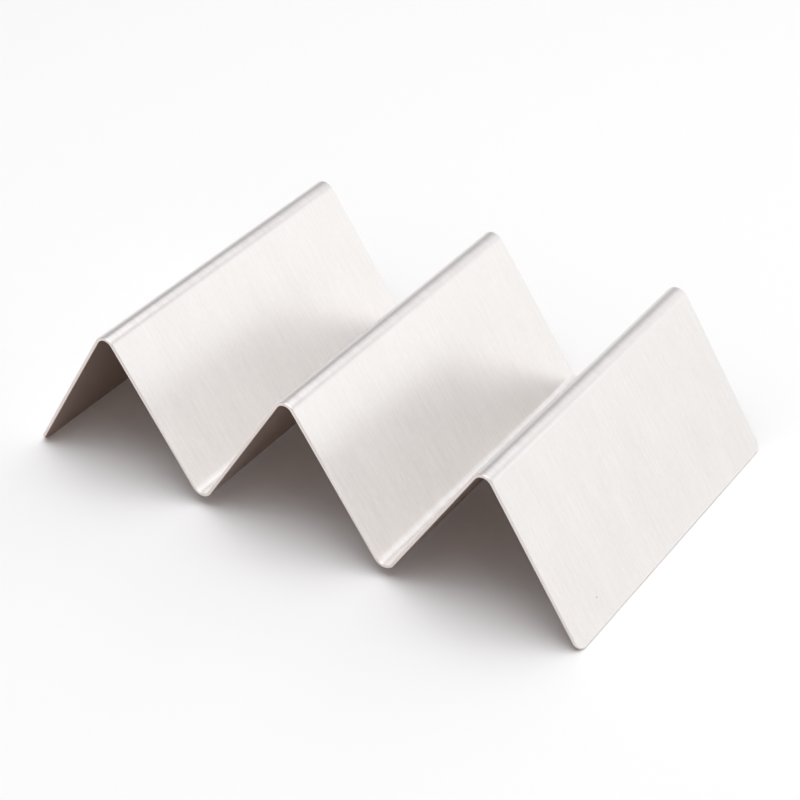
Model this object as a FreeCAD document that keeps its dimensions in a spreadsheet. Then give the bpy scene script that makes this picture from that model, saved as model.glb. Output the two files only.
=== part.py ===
# Taco holder: one strip of stainless sheet folded into three peaks, with a trough
# between each two, and a sloping leg at either end.
#
# Frame: millimetres, +Z up. X runs across the folds and Y along them. The origin
# is on the table, at the middle of the footprint.

import FreeCAD, Part
import enum
import math
import os
import Sketcher

# Driving dimensions: name, millimetres, what it is.
SIZES = [
    ("sheet_width", 101.6, "length of every fold, along Y"),
    ("sheet_thickness", 1.0, "thickness of the stainless sheet"),
    ("peak_height", 43.0, "table to the top of the peaks"),
    ("valley_lift", 3.0, "table to the underside of the valleys"),
    ("peak_pitch", 58.0, "from one peak to the next, across the folds"),
    ("foot_run", 27.6, "outer peak to the middle of the foot, across the folds"),
    ("bend_radius", 2.5, "inside radius of all five bends"),
    ("corner_radius", 3.0, "radius of the four corners of the blank"),
    ("edge_break", 0.2, "bevel left on the cut edges by deburring"),
]

# The points of a sketch element, in the order in which the sketcher counts them,
# and the sketch's own axes, which it counts downwards from -1.
Point = enum.IntEnum("Point", "START END CENTRE")
Axis = enum.IntEnum("Axis", "Y X", start=-2)

# Two lengths that differ by less than this, in millimetres, count as the same.
NEAR = 1e-3


def add_sizes(doc):
    """The spreadsheet of driving dimensions; returns them as a plain dict too."""
    sheet = doc.addObject("Spreadsheet::Sheet", "sizes")
    for row, (alias, value, meaning) in enumerate(SIZES, start=1):
        sheet.set(f"A{row}", alias)
        sheet.set(f"B{row}", str(value))
        sheet.set(f"C{row}", meaning)
        sheet.setAlias(f"B{row}", alias)
    doc.recompute()
    return {alias: float(getattr(sheet, alias)) for alias, _, _ in SIZES}


def origin_plane(body, role):
    """One of the body's own three origin planes."""
    return next(f for f in body.Origin.OriginFeatures if f.Role == role)


def new_sketch(body, name, plane_role):
    """An empty sketch lying on one of the body's origin planes."""
    sketch = body.newObject("Sketcher::SketchObject", name)
    sketch.AttachmentSupport = [(origin_plane(body, plane_role), "")]
    sketch.MapMode = "FlatFace"
    return sketch


def drive(sketch, name, formula, *constraint):
    """Add a named dimension to a sketch and bind it to the spreadsheet."""
    sketch.addConstraint(Sketcher.Constraint(*constraint))
    sketch.renameConstraint(sketch.ConstraintCount - 1, name)
    sketch.setExpression(f"Constraints.{name}", formula)


def arc(centre, radius, first_angle, last_angle):
    """A counterclockwise arc in the sketch plane, angles in radians."""
    circle = Part.Circle(FreeCAD.Vector(*centre, 0), FreeCAD.Vector(0, 0, 1), radius)
    return Part.ArcOfCircle(circle, first_angle, last_angle)


def on_circle(centre, radius, angle):
    """The point of a circle at an angle from the sketch's own X."""
    step = FreeCAD.Vector(math.cos(angle), math.sin(angle), 0)
    return FreeCAD.Vector(*centre, 0) + step * radius


def draw_fold_line(body, size):
    """Middle line of the right-hand half of the sheet, from the centre peak to the foot.

    The folds are drawn as arcs joined by straight panels that touch them. The first
    guess of every point is worked out here, and the constraints then hold it.
    """
    sketch = new_sketch(body, "fold_line", "XZ_Plane")
    radius = size["bend_radius"] + size["sheet_thickness"] / 2
    peak_level = size["peak_height"] - size["sheet_thickness"] / 2 - radius
    valley_level = size["valley_lift"] + size["sheet_thickness"] / 2 + radius
    centre_peak = (0, peak_level)
    valley = (size["peak_pitch"] / 2, valley_level)
    outer_peak = (size["peak_pitch"], peak_level)
    foot = FreeCAD.Vector(size["peak_pitch"] + size["foot_run"], size["sheet_thickness"] / 4, 0)
    half_foot = size["sheet_thickness"] / 2 - size["edge_break"]

    # A panel touches the peak's circle from above and the valley's from below, so it
    # is steeper than the line of centres by the angle whose sine is 2 radius / distance.
    fall = peak_level - valley_level
    panel_slope = math.atan2(fall, valley[0]) + math.asin(2 * radius / math.hypot(fall, valley[0]))
    drop = peak_level - foot.y
    leg_slope = math.atan2(drop, size["foot_run"]) + math.asin(radius / math.hypot(drop, size["foot_run"]))

    # Angles, round each bend, where its panels touch it.
    top = math.pi / 2
    before_peak, after_peak, after_outer = top + panel_slope, top - panel_slope, top - leg_slope
    before_valley, after_valley = -top - panel_slope, -top + panel_slope

    half_peak = sketch.addGeometry(arc(centre_peak, radius, after_peak, top))
    inner_panel = sketch.addGeometry(Part.LineSegment(
        on_circle(centre_peak, radius, after_peak), on_circle(valley, radius, before_valley)))
    valley_bend = sketch.addGeometry(arc(valley, radius, before_valley, after_valley))
    outer_panel = sketch.addGeometry(Part.LineSegment(
        on_circle(valley, radius, after_valley), on_circle(outer_peak, radius, before_peak)))
    outer_bend = sketch.addGeometry(arc(outer_peak, radius, after_outer, before_peak))
    leg = sketch.addGeometry(Part.LineSegment(on_circle(outer_peak, radius, after_outer), foot))

    # The sheet is cut square, so it stands on the lower corner of its end face. This
    # construction line runs down that face, from its middle to where the bevel starts.
    lowest = foot - FreeCAD.Vector(math.sin(leg_slope), math.cos(leg_slope), 0) * half_foot
    end_face = sketch.addGeometry(Part.LineSegment(foot, lowest), True)

    sketch.addConstraint([
        Sketcher.Constraint("Tangent", half_peak, Point.START, inner_panel, Point.START),
        Sketcher.Constraint("Tangent", inner_panel, Point.END, valley_bend, Point.START),
        Sketcher.Constraint("Tangent", valley_bend, Point.END, outer_panel, Point.START),
        Sketcher.Constraint("Tangent", outer_panel, Point.END, outer_bend, Point.END),
        Sketcher.Constraint("Tangent", outer_bend, Point.START, leg, Point.START),
        Sketcher.Constraint("Coincident", leg, Point.END, end_face, Point.START),
        Sketcher.Constraint("Perpendicular", leg, end_face),
        Sketcher.Constraint("PointOnObject", end_face, Point.END, Axis.X),
        Sketcher.Constraint("PointOnObject", half_peak, Point.END, Axis.Y),
        Sketcher.Constraint("PointOnObject", half_peak, Point.CENTRE, Axis.Y),
        Sketcher.Constraint("Equal", half_peak, valley_bend),
        Sketcher.Constraint("Equal", half_peak, outer_bend),
        Sketcher.Constraint("Horizontal", half_peak, Point.CENTRE, outer_bend, Point.CENTRE),
    ])
    half_sheet = "sizes.sheet_thickness / 2"
    drive(sketch, "bend", f"sizes.bend_radius + {half_sheet}", "Radius", half_peak, radius)
    drive(sketch, "peak", f"sizes.peak_height - {half_sheet}",
          "DistanceY", Axis.X, Point.START, half_peak, Point.END, peak_level + radius)
    drive(sketch, "valley", "sizes.valley_lift + sizes.sheet_thickness + sizes.bend_radius",
          "DistanceY", Axis.X, Point.START, valley_bend, Point.CENTRE, valley_level)
    drive(sketch, "half_pitch", "sizes.peak_pitch / 2",
          "DistanceX", Axis.X, Point.START, valley_bend, Point.CENTRE, valley[0])
    drive(sketch, "pitch", "sizes.peak_pitch",
          "DistanceX", Axis.X, Point.START, outer_bend, Point.CENTRE, outer_peak[0])
    drive(sketch, "foot_run", "sizes.foot_run",
          "DistanceX", outer_bend, Point.CENTRE, leg, Point.END, size["foot_run"])
    drive(sketch, "half_foot", f"{half_sheet} - sizes.edge_break", "Distance", end_face, half_foot)
    return sketch


def draw_section(body, size):
    """Cross-section of the sheet at the top of the centre peak: width by thickness."""
    sketch = new_sketch(body, "sheet_section", "YZ_Plane")
    half_width = size["sheet_width"] / 2
    top = size["peak_height"]
    bottom = top - size["sheet_thickness"]
    corners = [
        FreeCAD.Vector(-half_width, bottom, 0),
        FreeCAD.Vector(half_width, bottom, 0),
        FreeCAD.Vector(half_width, top, 0),
        FreeCAD.Vector(-half_width, top, 0),
    ]
    under, right, over, left = [
        sketch.addGeometry(Part.LineSegment(corners[i], corners[(i + 1) % 4])) for i in range(4)
    ]
    sketch.addConstraint([
        Sketcher.Constraint("Coincident", under, Point.END, right, Point.START),
        Sketcher.Constraint("Coincident", right, Point.END, over, Point.START),
        Sketcher.Constraint("Coincident", over, Point.END, left, Point.START),
        Sketcher.Constraint("Coincident", left, Point.END, under, Point.START),
        Sketcher.Constraint("Horizontal", over),
        Sketcher.Constraint("Vertical", right),
        Sketcher.Constraint("Vertical", left),
        Sketcher.Constraint("Symmetric", under, Point.START, under, Point.END, Axis.Y),
    ])
    drive(sketch, "width", "sizes.sheet_width",
          "DistanceX", under, Point.START, under, Point.END, size["sheet_width"])
    drive(sketch, "thickness", "sizes.sheet_thickness",
          "DistanceY", right, Point.START, right, Point.END, size["sheet_thickness"])
    drive(sketch, "top", "sizes.peak_height", "DistanceY", Axis.X, Point.START, over, Point.START, top)
    return sketch


def fold_sheet(body, section, fold_line):
    """Carry the section along the fold line, then mirror that half at the centre peak."""
    half = body.newObject("PartDesign::AdditivePipe", "half_fold")
    half.Profile = section
    half.Spine = fold_line
    body.Document.recompute()
    whole = body.newObject("PartDesign::Mirrored", "both_halves")
    whole.Originals = [half]
    whole.MirrorPlane = (origin_plane(body, "YZ_Plane"), [""])
    whole.Refine = True
    body.Tip = whole
    body.Document.recompute()
    return whole


def edge_names(feature, wanted):
    """Names of the feature's edges that a test picks out."""
    return [f"Edge{i}" for i, edge in enumerate(feature.Shape.Edges, start=1) if wanted(edge)]


def dress_edges(body, kind, name, base, edges, dimension, alias):
    """Fillet or chamfer edges of the last feature by a spreadsheet size."""
    dressed = body.newObject(f"PartDesign::{kind}", name)
    dressed.Base = (base, edges)
    dressed.setExpression(dimension, f"sizes.{alias}")
    body.Tip = dressed
    body.Document.recompute()
    return dressed


def build_folded_sheet(doc, size):
    """The whole holder: folded strip, rounded blank corners, deburred cut edges."""
    body = doc.addObject("PartDesign::Body", "folded_sheet")
    body.Label = "folded_sheet"
    body.Placement = FreeCAD.Placement()
    folded = fold_sheet(body, draw_section(body, size), draw_fold_line(body, size))

    # The four blank corners are the short edges straight through the sheet at the feet.
    half_width = size["sheet_width"] / 2
    peak_x = size["peak_pitch"]

    def through_the_sheet(edge):
        ends = [v.Point for v in edge.Vertexes]
        at_the_side = all(abs(abs(p.y) - half_width) < NEAR for p in ends)
        at_a_foot = abs(edge.CenterOfMass.x) > peak_x
        return at_the_side and at_a_foot and abs(edge.Length - size["sheet_thickness"]) < NEAR

    short_edges = edge_names(folded, through_the_sheet)
    corners = dress_edges(body, "Fillet", "blank_corners", folded, short_edges, "Radius", "corner_radius")

    # The cut edges run all round the blank on both faces, smooth into each other, so
    # one foot edge on each face starts the whole run.
    def along_a_foot(edge):
        ends = [v.Point for v in edge.Vertexes]
        runs_along_y = len(ends) == 2 and abs(abs(ends[0].y - ends[1].y) - edge.Length) < NEAR
        between_corners = all(abs(p.y) < half_width - NEAR for p in ends)
        return runs_along_y and between_corners and edge.CenterOfMass.x > peak_x

    foot_edges = edge_names(corners, along_a_foot)
    dress_edges(body, "Chamfer", "deburred_edges", corners, foot_edges, "Size", "edge_break")
    return body


def check(doc, bodies):
    """Stop before anything is written if an object failed or a shape is empty."""
    for item in doc.Objects:
        if "Invalid" in item.State or "Error" in item.State:
            raise RuntimeError(f"{item.Label} failed: {item.State}")
    for body in bodies:
        if body.Shape.isNull() or not body.Shape.isValid() or len(body.Shape.Solids) != 1:
            raise RuntimeError(f"{body.Label} is not one valid solid")


def main():
    doc = FreeCAD.newDocument("TacoHolder")
    size = add_sizes(doc)
    bodies = [build_folded_sheet(doc, size)]
    doc.recompute()
    check(doc, bodies)
    os.makedirs("parts", exist_ok=True)
    for body in bodies:
        body.Shape.exportStep(f"parts/{body.Label}.step")
        box = body.Shape.optimalBoundingBox()
        print(f"{body.Label}: {box.XLength:.2f} x {box.YLength:.2f} x {box.ZLength:.2f} mm,"
              f" bottom at {box.ZMin:.3f}, {body.Shape.Volume / 1000:.2f} cm3")


main()
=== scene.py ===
# %% [markdown]
# # A folded stainless taco holder
#
# The real thing is one strip of brushed stainless sheet, 1 mm thick and about
# 100 mm wide, bent five times on a press brake. Three peaks and two valleys make
# two troughs, and the strip ends in two sloping legs that it stands on.
#
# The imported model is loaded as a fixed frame. Everything below is in metres, in
# the frame's own axes: X runs across the folds, Y along them and Z is up, with
# the origin on the table under the middle of the holder.

# %% Load the frame
import math

import bpy
import numpy as np
from mathutils import Matrix, Vector


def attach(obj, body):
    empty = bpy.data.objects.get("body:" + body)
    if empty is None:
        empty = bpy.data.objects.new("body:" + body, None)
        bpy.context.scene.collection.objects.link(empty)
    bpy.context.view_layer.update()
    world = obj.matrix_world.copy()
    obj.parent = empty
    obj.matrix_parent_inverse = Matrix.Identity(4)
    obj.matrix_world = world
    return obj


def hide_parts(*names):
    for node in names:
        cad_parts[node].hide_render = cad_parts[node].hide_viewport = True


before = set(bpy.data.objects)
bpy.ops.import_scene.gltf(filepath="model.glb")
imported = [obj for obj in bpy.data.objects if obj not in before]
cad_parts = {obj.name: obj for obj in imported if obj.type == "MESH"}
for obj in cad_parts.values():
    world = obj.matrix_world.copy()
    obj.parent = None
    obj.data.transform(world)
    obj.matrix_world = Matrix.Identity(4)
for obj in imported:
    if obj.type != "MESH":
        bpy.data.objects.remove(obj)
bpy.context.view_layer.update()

# %% [markdown]
# ## Sizes
# These are the CAD model's sizes, so the two agree. The corners of its cut edges
# are broken by a 0.2 mm bevel. A rounding looks softer and more like a tumbled
# edge, so one is drawn here. Its radius is worked out below so that the foot comes
# down to the table as the bevelled one does, and doesn't sink in.

# %% Sizes of the sheet
MM = 0.001
WIDTH = 101.6 * MM
THICKNESS = 1.0 * MM
PEAK_HEIGHT = 43.0 * MM
VALLEY_LIFT = 3.0 * MM
PEAK_PITCH = 58.0 * MM
FOOT_RUN = 27.6 * MM
BEND_RADIUS = 2.5 * MM
CORNER_RADIUS = 3.0 * MM
EDGE_BREAK = 0.2 * MM

middle_radius = BEND_RADIUS + THICKNESS / 2
peak_level = PEAK_HEIGHT - THICKNESS - BEND_RADIUS
valley_level = VALLEY_LIFT + THICKNESS + BEND_RADIUS
print(f"bend centres at {peak_level / MM:.2f} and {valley_level / MM:.2f} mm above the table")

# %% [markdown]
# ## The fold line
# Seen from the end, the sheet's middle line is a chain of straight panels and
# circular bends. A panel that goes from a peak to a valley touches both circles
# from opposite sides, and a leg touches one circle and ends at the foot. The
# lengths and slopes of both come from right triangles, so nothing is fitted.

# %% Slopes and lengths of the panels
SLOPE_GUESS = 1.0
SLOPE_ROUNDS = 20

across = PEAK_PITCH / 2
fall = peak_level - valley_level
reach = math.hypot(across, fall)
panel_slope = math.atan2(fall, across) + math.asin(2 * middle_radius / reach)
panel_length = math.sqrt(reach**2 - (2 * middle_radius) ** 2)

# The foot's level depends a little on the leg's slope, and the slope on the level,
# so from a first guess in radians each is worked out from the other in turn.
leg_slope = SLOPE_GUESS
for _ in range(SLOPE_ROUNDS):
    foot_level = (THICKNESS / 2 - EDGE_BREAK) * math.cos(leg_slope)
    drop = peak_level - foot_level
    leg_reach = math.hypot(FOOT_RUN, drop)
    leg_slope = math.atan2(drop, FOOT_RUN) + math.asin(middle_radius / leg_reach)
leg_length = math.sqrt(leg_reach**2 - middle_radius**2)
print(f"panels slope {math.degrees(panel_slope):.2f} deg, legs {math.degrees(leg_slope):.2f} deg")

# %% The chain of panels and bends
VALLEY, PEAK = 1, -1

# Each run of the chain: its length, and the angle that it turns through,
# counted positive where the sheet turns upwards, as in a valley.
outer_turn = leg_slope + panel_slope
inner_turn = 2 * panel_slope
runs = [(leg_length, 0.0), (middle_radius * outer_turn, PEAK * outer_turn)]
for way in (VALLEY, PEAK, VALLEY):
    runs += [(panel_length, 0.0), (middle_radius * inner_turn, way * inner_turn)]
runs += [(panel_length, 0.0), (middle_radius * outer_turn, PEAK * outer_turn), (leg_length, 0.0)]
run_length = np.array([length for length, _ in runs])
run_turn = np.array([turn for _, turn in runs])
strip_length = run_length.sum()
print(f"{len(runs)} runs, and the flat strip is {strip_length / MM:.1f} x {WIDTH / MM:.1f} mm")

# %% [markdown]
# ## Folding a flat point
# The shape is worked out flat, as the blank that a laser cuts, and then folded.
# A flat point has a distance along the strip, a place across it, and a height
# above or below the middle of the sheet. To fold it, walk that distance along the
# fold line, then step off it at a right angle.

# %% Walk and fold
knot = np.concatenate([[0.0], np.cumsum(run_length)])
bend_rate = run_turn / run_length
start_angle = leg_slope + np.concatenate([[0.0], np.cumsum(run_turn)[:-1]])


def walk(run, distance):
    """The step from the start of a run to a point on it, and the angle there.

    The chord of an arc points along the mean of the angles at its ends, and it is
    shorter than the arc by sin(half turn) / half turn. A straight panel is an arc
    with no turn, so one formula does for both.
    """
    half_turn = bend_rate[run] * distance / 2
    chord = distance * np.sinc(half_turn / np.pi)
    heading = start_angle[run] + half_turn
    return chord * np.cos(heading), chord * np.sin(heading), heading + half_turn


steps = walk(np.arange(len(runs)), run_length)
start_x = -(PEAK_PITCH + FOOT_RUN) + np.concatenate([[0.0], np.cumsum(steps[0])[:-1]])
start_z = foot_level + np.concatenate([[0.0], np.cumsum(steps[1])[:-1]])


def fold(along, across_strip, height):
    """Folded places of flat points, and the angle of the sheet there.

    Place = point of the fold line at that distance + height x the line's normal,
    which is the heading turned a quarter turn to the left.
    """
    run = np.clip(np.searchsorted(knot, along, side="right") - 1, 0, len(runs) - 1)
    step_x, step_z, angle = walk(run, along - knot[run])
    x = start_x[run] + step_x - height * np.sin(angle)
    z = start_z[run] + step_z + height * np.cos(angle)
    return np.stack([x, across_strip, z], axis=-1), angle


peak_top = fold(np.array([strip_length / 2]), np.zeros(1), np.array([THICKNESS / 2]))[0][0]
print("top of the middle peak, mm:", np.round(peak_top / MM, 3))

# %% [markdown]
# ## The blank
# The blank is a long rectangle with rounded corners and a softly broken edge all
# round. A closed profile goes once round the strip: over the upper face, round
# one cut edge, back under the lower face and round the other edge. Carrying that
# profile along the strip gives a sleeve, and at the corners the profile swings
# round so that its edge follows the corner's arc. Two narrow caps close the ends.
#
# Stations lie close together in the bends and corners, where the sheet curves,
# and far apart on the flat panels, which need few.

# %% Stations along the strip
CORNER_STEPS = 14
BEND_STEPS = 36
PANEL_STEPS = 8

stations = []
for i, (length, turn) in enumerate(runs):
    first = CORNER_RADIUS if i == 0 else 0.0
    last = length - (CORNER_RADIUS if i == len(runs) - 1 else 0.0)
    count = BEND_STEPS if turn else PANEL_STEPS
    stations.append(knot[i] + np.linspace(first, last, count, endpoint=False))
stations.append([strip_length - CORNER_RADIUS])
middle = np.concatenate(stations)

# In a corner the base stays where it is while the profile swings a quarter turn.
swing = np.linspace(0, math.pi / 2, CORNER_STEPS + 1)
station_base = np.concatenate(
    [np.full(CORNER_STEPS, middle[0]), middle, np.full(CORNER_STEPS, middle[-1])]
)
station_swing = np.concatenate([swing[:-1], np.full(len(middle), math.pi / 2), swing[::-1][1:]])
station_side = np.where(np.arange(len(station_base)) < len(station_base) // 2, 1.0, -1.0)
print(f"{len(station_base)} stations")

# %% The rounded edge
ROUND_STEPS = 7

# The lowest points of a leg's bevelled end and of a rounded one lie level when
# radius x (sin + cos of the lean - 1) = bevel x sin of the lean.
lean = math.pi / 2 - leg_slope
edge_radius = EDGE_BREAK * math.sin(lean) / (math.sin(lean) + math.cos(lean) - 1)

# Going over an edge, the normal tips from straight up to straight down. Inset is
# the distance in from the outline, height the distance from the middle of the sheet.
tip = np.linspace(math.pi / 2, 0, ROUND_STEPS + 1)
upper_height = THICKNESS / 2 - edge_radius + edge_radius * np.sin(tip)
edge_tip = np.concatenate([tip, -tip[::-1]])
edge_inset = edge_radius * (1 - np.cos(edge_tip))
edge_height = np.concatenate([upper_height, -upper_height[::-1]])
print(f"edges rounded to {edge_radius / MM:.3f} mm")

# %% Profile round the strip
FACE_STEPS = 16

face = np.linspace(-1, 1, FACE_STEPS + 1)
inner = face[1:-1]
flat_height = np.full(len(inner), THICKNESS / 2)
flat_inset = np.full(len(inner), edge_radius)
flat_tip = np.full(len(inner), math.pi / 2)
profile_place = np.concatenate([inner, np.ones(len(edge_tip)), inner[::-1], -np.ones(len(edge_tip))])
profile_inset = np.concatenate([flat_inset, edge_inset, flat_inset, edge_inset[::-1]])
profile_height = np.concatenate([flat_height, edge_height, -flat_height, edge_height[::-1]])
profile_tip = np.concatenate([flat_tip, edge_tip, -flat_tip, edge_tip[::-1]])
print(f"{len(profile_place)} points round the profile")

# %% [markdown]
# ## The sleeve and its caps
# Each grid point gets three things at once: its place, its exact normal, and its
# place on the flat blank. The normals matter because the faces are large and flat
# beside roundings less than a third of a millimetre wide, and averaged normals
# would smear the edge's shading over the whole panel.

# %% A grid of blank points, folded
def sheet_grid(base, swing_angle, side, place, inset, height, tip_angle):
    """Places, normals and distances along the strip of a grid of blank points.

    An argument is a grid with a value for each point, or one value for all of them.
    In a corner the outline point lies at corner radius - inset from the corner's
    centre, at the swing angle: along = base - side (R - inset) cos(swing), and
    across = place (half width - R + (R - inset) sin(swing)). The normal is
    cos(tip) x the outline's outward direction + sin(tip) x the sheet's normal.
    """
    arm = CORNER_RADIUS - inset
    along = base - side * arm * np.cos(swing_angle)
    reach_across = WIDTH / 2 - CORNER_RADIUS + arm * np.sin(swing_angle)
    points, angle = fold(along, place * reach_across, height)
    outward_along = -side * np.cos(swing_angle) * np.cos(tip_angle)
    outward_across = np.sign(place) * np.sin(swing_angle) * np.cos(tip_angle)
    upward = np.sin(tip_angle)
    normal_x = outward_along * np.cos(angle) - upward * np.sin(angle)
    normal_z = outward_along * np.sin(angle) + upward * np.cos(angle)
    return points, np.stack([normal_x, outward_across, normal_z], axis=-1), along


ridge = sheet_grid(
    base=np.array([strip_length / 2]),
    swing_angle=math.pi / 2,
    side=1.0,
    place=np.zeros(1),
    inset=0.0,
    height=THICKNESS / 2,
    tip_angle=math.pi / 2,
)
print("normal on top of the middle peak:", np.round(ridge[1][0], 3))

# %% The sleeve
# The round starts and ends on the far cut edge, and its first point comes again
# at its end, so that the pattern's coordinate jumps back only on that edge.
far_edge = len(inner) + ROUND_STEPS + 1
ring = (far_edge + np.arange(len(profile_place) + 1)) % len(profile_place)
shape = (len(station_base), len(ring))


def over_stations(values):
    """One value per station, repeated for the whole profile."""
    return np.broadcast_to(values[:, None], shape)


def over_profile(values):
    """One value per profile point, repeated for every station."""
    return np.broadcast_to(values[ring][None, :], shape)


sleeve_points, sleeve_normals, sleeve_along = sheet_grid(
    over_stations(station_base),
    over_stations(station_swing),
    over_stations(station_side),
    over_profile(profile_place),
    over_profile(profile_inset),
    over_profile(profile_height),
    over_profile(profile_tip),
)
walked = np.linalg.norm(np.diff(sleeve_points[len(station_base) // 2], axis=0), axis=1)
round_strip = np.concatenate([[0.0], np.cumsum(walked)])
sleeve_round = np.broadcast_to(round_strip[None, :], shape)
print(f"sleeve grid {shape}, once round the strip: {round_strip[-1] / MM:.2f} mm")

# %% The two caps
cap_shape = (len(edge_tip), len(face))
cap_tip = np.broadcast_to(edge_tip[:, None], cap_shape)
caps = []
for base, side in ((middle[0], 1.0), (middle[-1], -1.0)):
    caps.append(
        sheet_grid(
            np.full(cap_shape, base),
            np.zeros(cap_shape),
            np.full(cap_shape, side),
            np.broadcast_to(face[None, :], cap_shape),
            np.broadcast_to(edge_inset[:, None], cap_shape),
            np.broadcast_to(edge_height[:, None], cap_shape),
            cap_tip,
        )
    )
print("cap grids", cap_shape)

# %% [markdown]
# ## The mesh
# The three grids meet along shared lines. Points that coincide are joined into
# one, which closes the surface. The pattern coordinate is kept per face corner:
# U runs round the strip, across the brushing, and V runs along it, both in metres.

# %% Pattern coordinates of the grids
# For each grid: places, normals, U, V, tip of the normal, and whether its faces are
# turned round. A cap's U is the place across the strip, and its V runs down over it.
grids = [(sleeve_points, sleeve_normals, sleeve_round, sleeve_along, over_profile(profile_tip), False)]
cap_u = np.broadcast_to((face * (WIDTH / 2 - CORNER_RADIUS))[None, :], cap_shape)
cap_down = np.arange(cap_shape[0])[:, None] * edge_radius / ROUND_STEPS
for flip, (points, normals, along) in zip((True, False), caps):
    cap_v = np.broadcast_to(along[:, :1] + cap_down, cap_shape)
    grids.append((points, normals, cap_u, cap_v, cap_tip, flip))
print(f"{len(grids)} grids")

# %% Join the grids into one closed mesh
NEAREST = 1e-7


def quads(rows, columns, first):
    """Corner numbers of the quads of a grid whose points are numbered row by row."""
    row, column = np.meshgrid(np.arange(rows - 1), np.arange(columns - 1), indexing="ij")
    corner = (first + row * columns + column).ravel()
    return np.stack([corner, corner + columns, corner + columns + 1, corner + 1], axis=1)


all_points, all_normals, all_uv, all_tips, all_quads = [], [], [], [], []
count = 0
for points, normals, u, v, grid_tip, flip in grids:
    faces = quads(*points.shape[:2], first=count)
    all_quads.append(faces[:, ::-1] if flip else faces)
    all_points.append(points.reshape(-1, 3))
    all_normals.append(normals.reshape(-1, 3))
    all_uv.append(np.stack([u.ravel(), v.ravel()], axis=1))
    all_tips.append(grid_tip.ravel())
    count += points.shape[0] * points.shape[1]
all_points, all_normals, all_uv, all_tips, all_quads = map(
    np.concatenate, (all_points, all_normals, all_uv, all_tips, all_quads)
)

# Points that round to the same tenth of a micrometre become one.
_, keep, joined = np.unique(
    np.round(all_points / NEAREST), axis=0, return_index=True, return_inverse=True
)
corners = joined.ravel()[all_quads]
print(f"{len(all_points)} grid points joined into {len(keep)}, {len(corners)} faces")

# %% Make the object
mesh = bpy.data.meshes.new("brushed_sheet")
mesh.from_pydata(all_points[keep], [], corners.tolist())
mesh.polygons.foreach_set("use_smooth", np.ones(len(corners), bool))
uv_layer = mesh.uv_layers.new(name="blank")
uv_layer.data.foreach_set("uv", all_uv[all_quads].astype(np.float32).ravel())
side_of_sheet = mesh.attributes.new("side_of_sheet", "FLOAT", "POINT")
side_of_sheet.data.foreach_set("value", np.sin(all_tips[keep]).astype(np.float32))
mesh.update()
mesh.normals_split_custom_set_from_vertices(all_normals[keep].tolist())
brushed_sheet = bpy.data.objects.new("brushed_sheet", mesh)
bpy.context.scene.collection.objects.link(brushed_sheet)

facing = np.einsum(
    "ij,ij->i",
    np.array([p.normal[:] for p in mesh.polygons]),
    all_normals[all_quads].mean(axis=1),
)
print(f"faces turned inside out: {(facing < 0).sum()}, mesh valid: {not mesh.validate(verbose=False)}")

# %% [markdown]
# ## Colours and nodes
# Colours are picked as sRGB hex values, as a paint chart gives them, and turned
# into the linear values that the renderer works in. Every node is added by one
# small function, which sets its properties and links its inputs.

# %% Helpers for materials
def linear(hex_colour):
    """An sRGB hex colour as linear RGBA.

    Each channel c in 0..1 becomes c / 12.92 below 0.04045, and otherwise
    ((c + 0.055) / 1.055) to the power 2.4.
    """
    c = np.array([int(hex_colour[i : i + 2], 16) for i in (1, 3, 5)]) / 255
    return (*np.where(c <= 0.04045, c / 12.92, ((c + 0.055) / 1.055) ** 2.4), 1.0)


def add_node(tree, kind, settings=None, **inputs):
    """Add a node, set its properties, and set or link its inputs by name.

    An input that is given another node's output is linked, and any other is set.
    A name such as i1 takes the input with that number instead.
    """
    node = tree.nodes.new(kind)
    for key, value in (settings or {}).items():
        setattr(node, key, value)
    for key, value in inputs.items():
        by_number = key[0] == "i" and key[1:].isdigit()
        socket = node.inputs[int(key[1:]) if by_number else key.replace("_", " ")]
        if isinstance(value, bpy.types.NodeSocket):
            tree.links.new(value, socket)
        else:
            socket.default_value = value
    return node


def empty_material(name):
    """A node material with no nodes in it yet."""
    material = bpy.data.materials.new(name)
    material.use_nodes = True
    material.node_tree.nodes.clear()
    return material


middle_grey = "#808080"
print(f"{middle_grey} is {linear(middle_grey)[0]:.3f} in linear light")

# %% [markdown]
# ## Brushed stainless steel
# Kitchen sheet is 304 stainless with a brushed (No. 4) finish: belts of fine grit
# drag short, shallow scratches along the strip. The eye sees a soft sheen that
# stretches across the scratches, faint streaks where the grit bit deeper, and
# slight clouds where the belt pressed harder. The scratches themselves are about
# 0.02 mm wide, far finer than a pixel, so the finest pattern is drawn at 0.5 mm.
#
# The pattern lives on the flat blank, as it does on the real sheet, which is
# brushed before it is folded: it runs over the bends without a break.

# %% Patterns of the brushing
steel = empty_material("brushed_stainless_steel")
tree = steel.node_tree
blank_uv = add_node(tree, "ShaderNodeUVMap", {"uv_map": "blank"}).outputs["UV"]

# Width across the scratches and length along them, in millimetres, and detail.
PATTERNS = {"grain": (0.5, 2.0, 2.0), "streak": (0.8, 12.0, 2.0), "cloud": (8.0, 24.0, 2.0)}
pattern = {}
for name, (wide, long, detail) in PATTERNS.items():
    per_metre = (1 / (wide * MM), 1 / (long * MM), 1)
    placed = add_node(tree, "ShaderNodeMapping", Vector=blank_uv, Scale=per_metre)
    noise = add_node(
        tree,
        "ShaderNodeTexNoise",
        {"noise_dimensions": "2D"},
        Vector=placed.outputs["Vector"],
        Scale=1.0,
        Detail=detail,
    )
    pattern[name] = noise.outputs[0]
print("patterns:", ", ".join(pattern))

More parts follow.
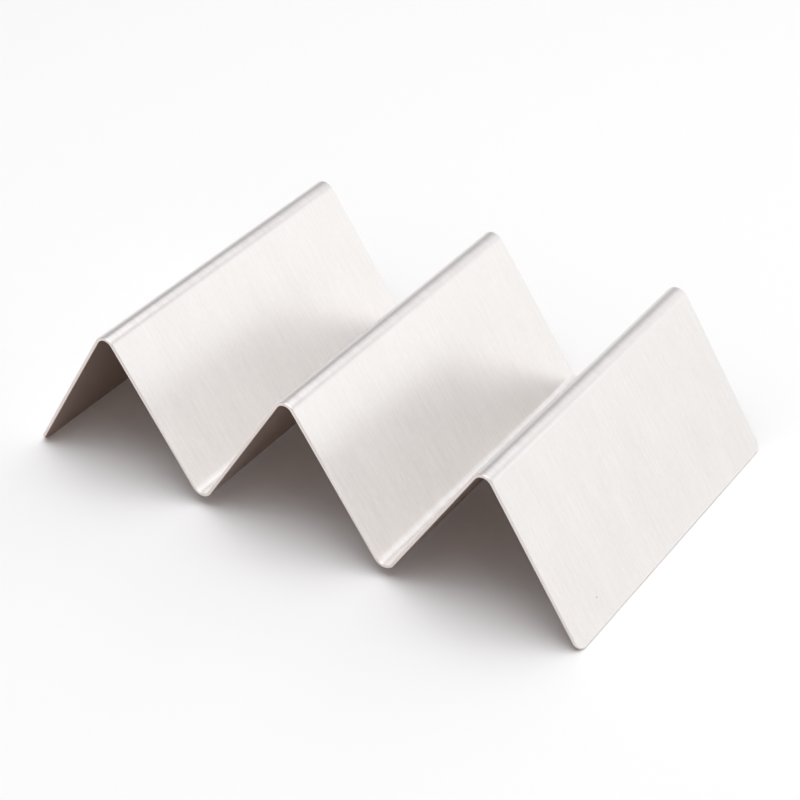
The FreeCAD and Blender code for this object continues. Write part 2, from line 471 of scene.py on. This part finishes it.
# %% [markdown]
# ## Two faces and an edge
# Only the outer face is taken to be brushed. The reverse would then keep the mill
# finish, rolled and pickled, which is darker and warmer. Its colour here is darker
# still, with painted shade in it: the dark reflection of the shaded table under the
# peaks. It is mostly in shade, so it differs here by colour alone: the brushing's
# pattern and sheen run over it too.
# The cut edge is rough from the laser and then deburred, so it is the dullest. A
# value on each point of the mesh says where it is: 1 on the brushed face, 0 on the
# edge and -1 on the reverse.

# %% Where each finish is
REVERSE_ENDS, OUTER_STARTS = -0.75, -0.35
FACE_ENDS, EDGE_STARTS = 0.9, 0.4

side = add_node(tree, "ShaderNodeAttribute", {"attribute_name": "side_of_sheet"}).outputs["Fac"]
outer = add_node(tree, "ShaderNodeMapRange", Value=side, i1=REVERSE_ENDS, i2=OUTER_STARTS)
flatness = add_node(tree, "ShaderNodeMath", {"operation": "ABSOLUTE"}, i0=side)
edge = add_node(
    tree, "ShaderNodeMapRange", Value=flatness.outputs[0], i1=FACE_ENDS, i2=EDGE_STARTS
)
print(f"the edge's finish is whole where the value is within {EDGE_STARTS} of 0")

# %% [markdown]
# ## Colour, sheen and scratches
# Steel's colour is close to grey with a touch of yellow. The patterns change its
# brightness by a few hundredths, so that they show only faintly, as on the real one.
# A speck of a nick, from knocking against something, sits near one foot.

# %% Colour of the sheet
FACE_COLOUR = "#EFECEA"
# The reverse's colour is mill finish darkened with painted shade: the dark reflection of the shaded table
# under the peaks.
REVERSE_MILL_AND_SHADE_COLOUR = "#B8A397"
EDGE_COLOUR = "#EEE6E1"
BASE_SHADE = 0.88
PATTERN_SHADES = {"grain": 0.08, "streak": 0.10, "cloud": 0.05}
NICK_UP, NICK_IN, NICK_SIZE = 7.0 * MM, 14.3 * MM, 0.3 * MM
NICK_SHADE = 0.55

# The mix starts from the reverse's colour, painted shade and all, and blends in the face and the edge.
finish = linear(REVERSE_MILL_AND_SHADE_COLOUR)
for where, hex_colour in ((outer, FACE_COLOUR), (edge, EDGE_COLOUR)):
    share = where.outputs["Result"]
    finish = add_node(
        tree, "ShaderNodeMix", {"data_type": "RGBA"}, Factor=share, i6=finish, i7=linear(hex_colour)
    ).outputs[2]

multiply_add = {"operation": "MULTIPLY_ADD"}
shade = BASE_SHADE
for name, amount in PATTERN_SHADES.items():
    shade = add_node(
        tree, "ShaderNodeMath", multiply_add, i0=pattern[name], i1=amount, i2=shade
    ).outputs[0]

nick_place = (round_strip[-1] - THICKNESS / 2 - WIDTH + NICK_IN, strip_length - NICK_UP, 0)
nick_distance = add_node(
    tree, "ShaderNodeVectorMath", {"operation": "DISTANCE"}, i0=blank_uv, i1=nick_place
)
nick = add_node(
    tree,
    "ShaderNodeMapRange",
    Value=nick_distance.outputs["Value"],
    i1=NICK_SIZE / 2,
    i2=NICK_SIZE,
    i3=NICK_SHADE,
    i4=shade,
)
colour = add_node(
    tree, "ShaderNodeVectorMath", {"operation": "SCALE"}, i0=finish, Scale=nick.outputs["Result"]
)
print(f"a nick {NICK_SIZE / MM:.1f} mm across its dark middle, {NICK_UP / MM:.1f} mm up from the foot")

# %% Sheen of the sheet
# The roughness of the faces, and what the streaks and the cut edge add to it.
FACE_ROUGHNESS = 0.31
STREAK_ADDS = 0.08
EDGE_ADDS = 0.25
SHEEN_STRETCH = 0.6
SCRATCH_DEPTH = 0.0006 * MM

streaked = add_node(
    tree, "ShaderNodeMath", multiply_add, i0=pattern["streak"], i1=STREAK_ADDS, i2=FACE_ROUGHNESS
)
roughness = add_node(
    tree,
    "ShaderNodeMath",
    multiply_add,
    i0=edge.outputs["Result"],
    i1=EDGE_ADDS,
    i2=streaked.outputs[0],
)
tangent = add_node(tree, "ShaderNodeTangent", {"direction_type": "UV_MAP", "uv_map": "blank"})
scratches = add_node(
    tree, "ShaderNodeBump", Strength=1.0, Distance=SCRATCH_DEPTH, Height=pattern["grain"]
)
shader = add_node(
    tree,
    "ShaderNodeBsdfPrincipled",
    Base_Color=colour.outputs["Vector"],
    Metallic=1.0,
    Roughness=roughness.outputs[0],
    Anisotropic=SHEEN_STRETCH,
    Tangent=tangent.outputs["Tangent"],
    Normal=scratches.outputs["Normal"],
)
add_node(tree, "ShaderNodeOutputMaterial", Surface=shader.outputs["BSDF"])
mesh.materials.append(steel)
print(f"{steel.name}: {len(tree.nodes)} nodes")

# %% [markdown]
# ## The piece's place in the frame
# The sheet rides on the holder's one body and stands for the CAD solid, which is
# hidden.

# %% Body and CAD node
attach(brushed_sheet, "root")
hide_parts("folded_sheet")
print(brushed_sheet.name, "stands for folded_sheet")

# %% [markdown]
# ## Camera
# A product shot from the front right, looking down at just over a third of a right
# angle. Place, turn and lens were found from the holder's outlines in the photograph.

# %% Camera
CAMERA_AZIMUTH = math.radians(33.683)
CAMERA_ELEVATION = math.radians(33.903)
CAMERA_ROLL = math.radians(-1.112)
CAMERA_PLACE = Vector((271.44, -405.68, 342.95)) * MM
FOCAL_PIXELS = 2153.13
IMAGE_PIXELS = 800
SENSOR = 36.0
CLIP_NEAR, CLIP_FAR = 0.01, 20

back = Vector(
    (
        math.sin(CAMERA_AZIMUTH) * math.cos(CAMERA_ELEVATION),
        -math.cos(CAMERA_AZIMUTH) * math.cos(CAMERA_ELEVATION),
        math.sin(CAMERA_ELEVATION),
    )
)
level_right = Vector((math.cos(CAMERA_AZIMUTH), math.sin(CAMERA_AZIMUTH), 0))
level_up = back.cross(level_right)
right = math.cos(CAMERA_ROLL) * level_right + math.sin(CAMERA_ROLL) * level_up
up = -math.sin(CAMERA_ROLL) * level_right + math.cos(CAMERA_ROLL) * level_up

camera = bpy.data.objects.new("camera", bpy.data.cameras.new("camera"))
camera.data.sensor_width = SENSOR
camera.data.lens = FOCAL_PIXELS / IMAGE_PIXELS * SENSOR
camera.data.clip_start = CLIP_NEAR
camera.data.clip_end = CLIP_FAR
camera.matrix_world = Matrix.Translation(CAMERA_PLACE) @ Matrix((right, up, back)).transposed().to_4x4()
bpy.context.scene.collection.objects.link(camera)
bpy.context.scene.camera = camera
print(f"lens {camera.data.lens:.1f} mm")

# %% [markdown]
# ## Table and background
# A plain white table. Near the holder it is matt and takes its shadow. Further
# out, where the soft boxes no longer reach, it blends into the white of the room,
# so that no horizon shows from low down. The white there is only for rays that
# reach the eye, straight or by way of the steel, and adds no light.

# %% Table
FLOOR_SIZE = 6.0

half = FLOOR_SIZE / 2
floor_corners = [(-half, -half, 0), (half, -half, 0), (half, half, 0), (-half, half, 0)]
floor_mesh = bpy.data.meshes.new("floor")
floor_mesh.from_pydata(floor_corners, [], [(0, 1, 2, 3)])
floor = bpy.data.objects.new("floor", floor_mesh)
bpy.context.scene.collection.objects.link(floor)
print(f"table {FLOOR_SIZE} m across")

# %% White table top
TABLE_COLOUR = "#FAFAFA"
WHITE = "#FFFFFF"
SHADOW_REACH = 0.3
WHITE_FROM = 3 * SHADOW_REACH


def seen(tree):
    """1 for a ray from the camera, a reflection or through glass, and 0 for any other."""
    path = add_node(tree, "ShaderNodeLightPath").outputs
    larger = {"operation": "MAXIMUM"}
    either = add_node(
        tree, "ShaderNodeMath", larger, i0=path["Is Camera Ray"], i1=path["Is Glossy Ray"]
    )
    return add_node(
        tree, "ShaderNodeMath", larger, i0=either.outputs[0], i1=path["Is Transmission Ray"]
    ).outputs[0]


table_top = empty_material("white_table")
tree = table_top.node_tree
place = add_node(tree, "ShaderNodeTexCoord").outputs["Object"]
distance = add_node(tree, "ShaderNodeVectorMath", {"operation": "LENGTH"}, i0=place)
far_off = add_node(
    tree,
    "ShaderNodeMapRange",
    {"interpolation_type": "SMOOTHSTEP"},
    Value=distance.outputs["Value"],
    i1=SHADOW_REACH,
    i2=WHITE_FROM,
)
product = {"operation": "MULTIPLY"}
blend = add_node(tree, "ShaderNodeMath", product, i0=far_off.outputs["Result"], i1=seen(tree))
matt = add_node(tree, "ShaderNodeBsdfDiffuse", Color=linear(TABLE_COLOUR))
white = add_node(tree, "ShaderNodeEmission", Color=linear(WHITE), Strength=1.0)
mix = add_node(tree, "ShaderNodeMixShader", i0=blend.outputs[0], i1=matt.outputs[0], i2=white.outputs[0])
add_node(tree, "ShaderNodeOutputMaterial", Surface=mix.outputs[0])
floor_mesh.materials.append(table_top)
print(f"matt to {SHADOW_REACH} m from the middle, and white from {WHITE_FROM:.1f} m out")

# %% [markdown]
# ## Room and soft boxes
# Steel shows what stands round it, so the light is arranged as a photographer
# does it. A wide soft box behind the holder gives the sloping faces their sheen,
# and a low, dim strip under it makes the leg that faces it a little lighter at the
# top than at the foot. One overhead lights the table, high enough that the peaks
# don't mirror it: they show the dim room as a grey line. The undersides stay dark
# for want of a light of their own, and from the painted shade in the reverse's
# colour. Low down the room shows as plain white, the background that the camera
# sees.

# %% Room
# The room's grey is given in linear light, as it was matched.
ROOM_GREY = (0.45, 0.441, 0.45, 1)
WHITE_BELOW, DIM_ABOVE = math.radians(12), math.radians(22)

world = bpy.data.worlds.new("studio")
bpy.context.scene.world = world
world.use_nodes = True
tree = world.node_tree
tree.nodes.clear()
direction = add_node(tree, "ShaderNodeTexCoord").outputs["Generated"]
height = add_node(tree, "ShaderNodeSeparateXYZ", Vector=direction).outputs["Z"]
low_down = add_node(
    tree,
    "ShaderNodeMapRange",
    {"interpolation_type": "SMOOTHSTEP"},
    Value=height,
    i1=math.sin(DIM_ABOVE),
    i2=math.sin(WHITE_BELOW),
)
blend = add_node(tree, "ShaderNodeMath", product, i0=low_down.outputs["Result"], i1=seen(tree))
room = add_node(tree, "ShaderNodeBackground", Color=ROOM_GREY, Strength=1.0)
white = add_node(tree, "ShaderNodeBackground", Color=linear(WHITE), Strength=1.0)
mix = add_node(tree, "ShaderNodeMixShader", i0=blend.outputs[0], i1=room.outputs[0], i2=white.outputs[0])
add_node(tree, "ShaderNodeOutputWorld", Surface=mix.outputs[0])
print(f"room white below {math.degrees(WHITE_BELOW):.0f} deg, grey above {math.degrees(DIM_ABOVE):.0f} deg")

# %% Soft boxes
LAMPS_AIM_AT = Vector((0, 0, 0.02))


def soft_box(name, place, size, brightness):
    """A rectangular area lamp that faces the holder.

    Seen straight on, a lamp of power P and area A looks as bright as P / (pi A),
    so brightness 1 looks as white as a white wall.
    """
    lamp = bpy.data.lights.new(name, "AREA")
    lamp.shape = "RECTANGLE"
    lamp.size, lamp.size_y = size
    lamp.energy = brightness * math.pi * size[0] * size[1]
    box = bpy.data.objects.new(name, lamp)
    box.location = place
    box.rotation_euler = (LAMPS_AIM_AT - Vector(place)).to_track_quat("-Z", "Y").to_euler()
    bpy.context.scene.collection.objects.link(box)


# Name, place and size in metres, and brightness.
soft_box("overhead_box", (0.1, 0.0, 1.5), (1.5, 1.5), 2.3)
soft_box("back_box", (0.71, 1.18, 0.77), (2.4, 0.58), 0.7)
soft_box("low_box", (1.05, 1.2, 0.40), (2.6, 0.36), 0.24)
print("lamps:", ", ".join(light.name for light in bpy.data.lights))

# %% [markdown]
# ## Finish
# The picture shows colours as they are, with the Standard view transform. The visual
# model has to fill the same box as the CAD model.

# %% Finish
bpy.context.scene.view_settings.view_transform = "Standard"
